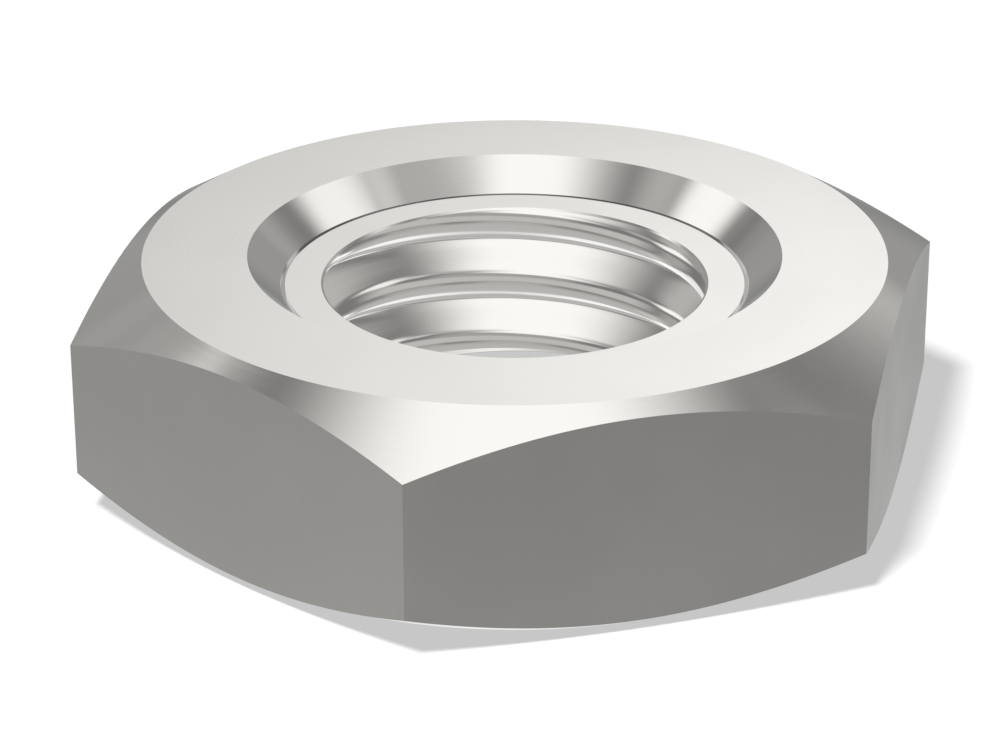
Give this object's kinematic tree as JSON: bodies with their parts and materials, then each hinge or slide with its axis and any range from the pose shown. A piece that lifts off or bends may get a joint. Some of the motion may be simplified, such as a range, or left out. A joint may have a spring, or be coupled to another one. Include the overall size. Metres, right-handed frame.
{
  "type": "thin hex nut",
  "caption": "Thin hexagon nut, chamfered on both faces, with a countersunk, threaded through hole that ends in flat ledges.",
  "frame": {"origin": "centre of the lower bearing face, on the thread axis", "axes": "+Z along the thread axis towards the upper bearing face, +X towards a corner of the hexagon, +Y square to a flat"},
  "size_m": [0.0196, 0.017, 0.005],
  "materials": {
    "steel": "bright smooth machined steel"
  },
  "bodies": {
    "root": {"nut": "steel"}
  },
  "joints": []
}
